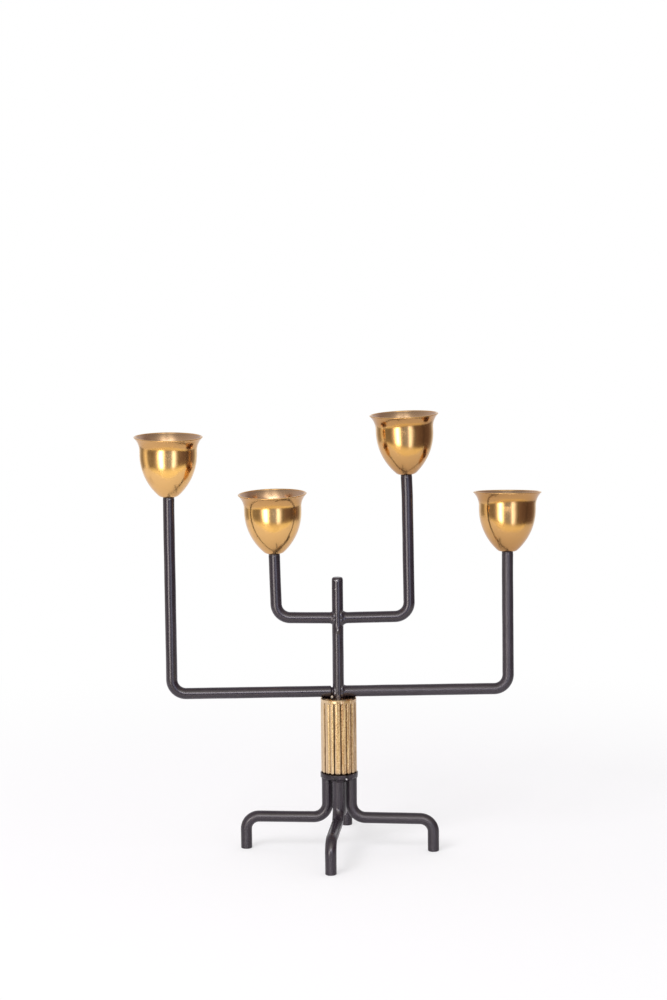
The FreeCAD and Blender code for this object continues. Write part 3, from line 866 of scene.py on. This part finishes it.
def cupGrid(arm, nth):
    # a closed outline, up the outside, over the rim and down the inside, turned about the cup's axis
    lines = armLines(arm)
    edge = cup["height"] - cup["wall"] * cup["rimShare"]
    outside = cupCurve(0.0, edge)
    inside = cupCurve(cup["wall"], edge)
    # the rim: a half circle from the outside over to the inside
    ends = outside[-1], inside[-1]
    middle = (ends[0] + ends[1]) / 2
    over = np.linspace(0, np.pi, cup["rimRows"])[1:-1, None]
    lift = np.array([0.0, cup["height"] - edge])
    rim = middle + (ends[0] - middle) * np.cos(over) + lift * np.sin(over)
    outline = np.concatenate([outside, rim, inside[::-1]])
    along = np.concatenate([[0.0], np.cumsum(np.linalg.norm(np.diff(outline, axis=0), axis=1))])
    turn = circle(cup["columns"])
    width = outline[:, :1] / (cup["belly"] / 2)
    dents = waves(outline[:, 1], turn, cup["seed"] + nth, cup["dentLength"]) * cup["uneven"] * width ** 2
    points = lathe(outline[:, :1] + dents, outline[:, 1], lines["seat"], lines["axis"], turn)
    # painted shade under the flare of the lip; the inside grows darker down to the floor; the rim is left
    # bare brass between them
    underLip = ramp((outside[:, 1] - cup["height"] + cup["lip"]) / (cup["lipGrowth"] * cup["lip"]))
    own = cup["ownShare"] * arm["tarnish"]
    lip = cup["lipShade"] + own
    tarnish = np.concatenate([lip * underLip, np.zeros(len(rim)),
                              np.linspace(cup["lipShade"], 1, len(inside))])
    # painted shade, darker towards the foot
    nearFoot = (cup["footShade"] + own) * ramp(1 - outline[:, 1] / cup["footReach"])
    marks = ramp(np.maximum(tarnish, arm["tarnish"]) + nearFoot)
    marks[len(outside):len(outside) + len(rim)] = 0
    dull = np.concatenate([np.zeros(len(outside) + len(rim)), np.ones(len(inside))])
    return {"points": points, "closed": True, "along": along[:, None], "marks": marks[:, None],
            "dull": dull[:, None]}


for nth, (name, arm) in enumerate(arms.items()):
    makePiece(name + "_cup_spun", [cupGrid(arm, nth)], cupBrass, [name + "_cup"])
print("cups made")


# Stage: a white table with a painted pool of light on its front that only the metal mirrors, a wide floor
# round it that the metal doesn't mirror, and a room that it does

stage = {
    "table": (-60.0, 190.0), "tableRadius": 600.0, "tableColumns": 120, "poolColumns": 61, "poolRows": 16,
    # painted light: a pool of light on the front of the table, seen only in the metal, its near edge from the
    # left to the right
    "lightPool": ((-640.0, -10.0), (-300.0, -190.0), (160.0, -185.0), (440.0, -40.0), (530.0, 20.0)),
    # the pool's tint and glow there, and at the table's edge, towards which it falls off
    "poolTint": "#fff8d8", "poolGlow": 1.25, "edgeTint": "#f4e2c0", "edgeGlow": 0.45, "poolFall": 4.2,
    # the card: its faint tooth, the sheen near the feet, and how it fades to white, by distance
    "surround": 6000.0, "drop": 0.1, "white": "#fbf8fc", "noise": {"tooth": (2.0, 2.0, 0.5)},
    "toothHeight": 0.05, "bump": 0.1, "cardIor": 1.45, "sheenRoughness": 0.16, "sheenRange": (150.0, 230.0),
    "fadeRange": (150.0, 520.0), "fadeLeast": 0.5,
    "roomRadius": 2000.0, "roomHeights": (-1800.0, 420.0, 520.0, 1050.0, 1150.0, 1500.0),
    # headings from the front towards the right, with the room's tint and brightness there: below eye level,
    # at eye level, and above it
    "lowRoom": ((-180, "#ffffff", 1.0), (-152, "#ffffff", 0.95), (-134, "#fffaf4", 0.45),
                (-120, "#fff4e6", 0.34), (-110, "#fff6e2", 0.8), (-97, "#fff6e2", 1.2),
                (-82, "#f4ece4", 0.34), (-62, "#fff2e6", 0.27),
                (-54, "#f4f0f4", 0.45), (-47, "#fdf4ee", 0.9), (-41, "#fdf4ee", 2.0), (-36, "#fdf4ee", 5.2),
                (-30, "#fdf4ee", 7.4), (-24, "#fdf4ee", 7.2), (-19, "#fdf4ee", 3.0), (-13, "#e8e8f4", 0.85),
                (-6, "#dce2f8", 0.68), (4, "#d4deff", 0.58), (12, "#d4deff", 0.75), (18, "#dce4ff", 2.7),
                (22, "#dce4ff", 3.4), (28, "#dce4ff", 2.7), (34, "#e8e8f8", 0.9), (41, "#f8f0f0", 0.36),
                (50, "#ffe0e4", 0.21), (70, "#ffdce0", 0.15), (108, "#ffdce0", 0.15), (122, "#ffe6e6", 0.26),
                (134, "#ffffff", 0.42), (144, "#ffffff", 0.8)),
    "eyeRoom": ((-180, "#fffaff", 0.7), (-62, "#fffaff", 0.7), (-36, "#fffaff", 1.2), (-24, "#fffaff", 3.0),
                (-12, "#fffaff", 5.8), (0, "#fffaff", 8.0), (12, "#fffaff", 8.0), (22, "#fffaff", 0.9),
                (45, "#ffe6e0", 0.25), (115, "#ffe6e0", 0.25), (140, "#fffaff", 0.7)),
    "highRoom": ((-180, "#fffaff", 0.8), (-140, "#fffaff", 0.7), (-70, "#fff4e4", 0.7), (-40, "#fff4e4", 0.8),
                 (-28, "#fffbe8", 1.4), (-18, "#fffbe8", 2.8), (-10, "#fffbe8", 2.8), (-2, "#fffbe8", 1.6),
                 (12, "#fffbe8", 1.6), (18, "#fffbe8", 2.8), (27, "#fffbe8", 2.8), (38, "#fff4e4", 1.2),
                 (60, "#fff4e4", 0.65), (115, "#ffe6e0", 0.4), (140, "#fffaff", 0.7)),
    "ceiling": ("#ffffff", 0.3), "roomStep": 0.5, "streak": 0.28, "streakWidth": 2.0, "seed": 5,
}


def makeStage(name, points, faces, material):
    # a mesh that isn't part of the object
    part = meshObject(name, points, faces, material)
    return part


def whiteCard(look):
    # matt white card that fades into a white background away from the object, for the camera alone. At a
    # glancing angle it has a sheen near the feet, which shows in the legs
    material, tree = startMaterial("mattWhiteCard")
    read = readPatterns(tree, (), look["noise"])
    bump = addNode(tree, "Bump", {
        "Height": read["tooth"], "Strength": look["bump"], "Distance": look["toothHeight"] * mm})
    matt = addNode(tree, "BsdfDiffuse", {"Color": look["white"], "Normal": bump})
    path = addNode(tree, "LightPath", {}).outputs
    away = addNode(tree, "VectorMath", {0: read["place"]}, operation="LENGTH")
    away = addNode(tree, "Math", {0: away, 1: mm}, operation="DIVIDE")
    near = addNode(tree, "MapRange", {
        "Value": away, **span("From", look["sheenRange"]), **span("To", (1.0, 0.0))})
    glance = addNode(tree, "Fresnel", {"IOR": look["cardIor"]})
    for share in (path["Is Glossy Ray"], near):
        glance = addNode(tree, "Math", {0: glance, 1: share}, operation="MULTIPLY")
    sheen = addNode(tree, "BsdfGlossy", {"Roughness": look["sheenRoughness"]})
    card = addNode(tree, "MixShader", {0: glance, 1: matt, 2: sheen})
    fade = addNode(tree, "MapRange", {
        "Value": away, **span("From", look["fadeRange"]), "To Min": look["fadeLeast"]},
        interpolation_type="SMOOTHSTEP")
    seen = addNode(tree, "Math", {0: fade, 1: path["Is Camera Ray"]}, operation="MULTIPLY")
    white = addNode(tree, "Emission", {"Strength": 1.0})
    shader = addNode(tree, "MixShader", {0: seen, 1: card, 2: white})
    endMaterial(tree, shader)
    return material


def glowMaterial(name):
    # light of the colour and strength that the glow attribute gives
    material, tree = startMaterial(name)
    glow = addNode(tree, "Attribute", {}, attribute_name="glow")
    shader = addNode(tree, "Emission", {"Color": glow, "Strength": 1.0})
    endMaterial(tree, shader)
    return material


def tinted(tint, strength):
    # linear RGBA of a glow: the tint times the strength
    return np.array(hexColour(tint)) * strength


def onlyMirrored(part, glow):
    # seen in the metal, but not by the camera, and it neither lights nor shades the matt surfaces
    part.data.attributes.new("glow", "FLOAT_COLOR", "POINT").data.foreach_set("color", glow.reshape(-1))
    part.visible_camera = False
    part.visible_diffuse = False
    part.visible_shadow = False


card = whiteCard(stage)
mirrored = glowMaterial("roomGlow")
tableCentre = np.array([*stage["table"], 0.0])


def tableEdge(start, end, count):
    # points on the round table's edge between two headings
    turn = np.radians(np.linspace(start, end, count, endpoint=False) - 90)
    return tableCentre + stage["tableRadius"] * np.stack([np.cos(turn), np.sin(turn), 0 * turn], axis=-1)


disc = tableEdge(-180, 180, stage["tableColumns"])
makeStage("table", disc, [range(len(disc))], card)
wide = stage["surround"]
corners = np.array([(-wide, -wide, 0.0), (wide, -wide, 0.0), (wide, wide, 0.0), (-wide, wide, 0.0)])
surroundFloor = makeStage("tableSurround", corners - up * stage["drop"], [range(4)], card)
surroundFloor.visible_glossy = False


def makeLightPool():
    # painted light, seen only in the metal: rows from the near edge out to the table's edge, glowing less
    # towards it
    nearEdge = np.array([(x, y, 0.0) for x, y in stage["lightPool"]])
    knots = np.linspace(0, 1, len(nearEdge))
    share = np.linspace(0, 1, stage["poolColumns"])
    near = np.stack([np.interp(share, knots, channel) for channel in nearEdge.T], axis=-1)
    fromCentre = nearEdge[[0, -1]] - tableCentre
    left, right = np.degrees(np.arctan2(fromCentre[:, 0], -fromCentre[:, 1]))
    far = tableEdge(left, right, len(share))
    outwards = np.linspace(0, 1, stage["poolRows"])[:, None, None]
    points = near + (far - near) * outwards + up * stage["drop"]
    fall = outwards[:, :, 0] ** stage["poolFall"]
    glow = (1 - fall) * tinted(stage["poolTint"], stage["poolGlow"]) + fall * tinted(
        stage["edgeTint"], stage["edgeGlow"])
    index = np.arange(points.size // 3).reshape(points.shape[:2])
    quads = np.stack([index[:-1, :-1], index[1:, :-1], index[1:, 1:], index[:-1, 1:]], axis=-1)
    lightPool = makeStage("paintedLightPool", points.reshape(-1, 3), quads.reshape(-1, 4).tolist(), mirrored)
    onlyMirrored(lightPool, np.repeat(glow[:, None], len(share), axis=1))


makeLightPool()


def stripes(table, headings):
    # the glow at each heading, ramped from one given heading to the next and round to the first
    starts = np.array([start for start, tint, strength in table], float)
    glows = np.stack([tinted(tint, strength) for start, tint, strength in table])
    return np.stack([np.interp(headings, starts, channel, period=360) for channel in glows.T], axis=-1)


def makeRoom():
    # a wall round the table with upright stripes of light and dark, closed by a plain ceiling
    headings = np.arange(-180.0, 180.0, stage["roomStep"])
    columns = len(headings)
    knots = np.arange(-180.0, 180.0, stage["streakWidth"])
    chance = np.random.default_rng(stage["seed"]).uniform(-1, 1, len(knots))
    streaks = np.interp(headings, knots, chance, period=360)[:, None]
    low, eye, high = [stripes(stage[key], headings) for key in ("lowRoom", "eyeRoom", "highRoom")]
    low = low * (1 + stage["streak"] * streaks)
    overhead = tinted(*stage["ceiling"])[None]
    glow = np.concatenate([low, low, eye, eye, high, high, overhead])
    heights = np.array(stage["roomHeights"])
    turn = np.radians(headings - 90)
    radii = np.full((len(heights), columns), stage["roomRadius"])
    wall = lathe(radii, heights, np.zeros(3), up, turn)
    faces = gridFaces(wall.shape[:2], False, False)
    last = np.arange(wall.size // 3 - columns, wall.size // 3)
    faces += np.stack([last, np.roll(last, -1), np.full(columns, wall.size // 3)], axis=-1).tolist()
    room = makeStage("room", np.concatenate([wall.reshape(-1, 3), up[None] * heights[-1]]), faces, mirrored)
    onlyMirrored(room, glow)


makeRoom()
print("stage made")


# Light: an even white surround and one soft lamp from the front left

light = {"white": "#ffffff", "surround": 0.75, "lampPlace": (-900.0, -1300.0, 1500.0),
         "lampAim": (0.0, 0.0, 120.0), "lampSize": 900.0, "lampPower": 19.0}

world = bpy.data.worlds.new("whiteSurround")
scene.world = world
world.use_nodes = True
sky = world.node_tree
sky.nodes.clear()
path = addNode(sky, "LightPath", {}).outputs
seen = path["Is Camera Ray"]
for kind in ("Is Glossy Ray", "Is Transmission Ray"):
    seen = addNode(sky, "Math", {0: seen, 1: path[kind]}, operation="MAXIMUM")
level = addNode(sky, "MapRange", {"Value": seen, **span("To", (light["surround"], 1.0))})
surround = addNode(sky, "Background", {"Color": light["white"], "Strength": level})
addNode(sky, "OutputWorld", {"Surface": surround})
world.cycles_visibility.glossy = False

lampData = bpy.data.lights.new("softLamp", "AREA")
lampData.size = light["lampSize"] * mm
lampData.energy = light["lampPower"]
lamp = bpy.data.objects.new("softLamp", lampData)
lampPlace = Vector(light["lampPlace"]) * mm
lampBack = lampPlace - Vector(light["lampAim"]) * mm
lamp.matrix_world = Matrix.Translation(lampPlace) @ lampBack.to_track_quat("Z", "Y").to_matrix().to_4x4()
scene.collection.objects.link(lamp)
lamp.visible_glossy = False          # the metal mirrors the room's window instead


# Camera, at the place and angle that the post, the arms and the four feet fix

cameraView = {"place": (0.0, -1605.8, 442.7), "pitch": 8.6211, "yaw": 0.0596, "roll": -0.58, "lens": 105.376,
              "sensor": 36.0, "clipEnd": 20.0}
cameraData = bpy.data.cameras.new("camera")
cameraData.lens = cameraView["lens"]
cameraData.sensor_width = cameraView["sensor"]
cameraData.clip_end = cameraView["clipEnd"]
camera = bpy.data.objects.new("camera", cameraData)
camera.matrix_world = (Matrix.Translation([value * mm for value in cameraView["place"]])
                       @ Matrix.Rotation(math.radians(cameraView["yaw"]), 4, "Z")
                       @ Matrix.Rotation(math.radians(90 - cameraView["pitch"]), 4, "X")
                       @ Matrix.Rotation(math.radians(cameraView["roll"]), 4, "Z"))
scene.collection.objects.link(camera)
scene.camera = camera
scene.view_settings.view_transform = "Standard"
print("light and camera made")
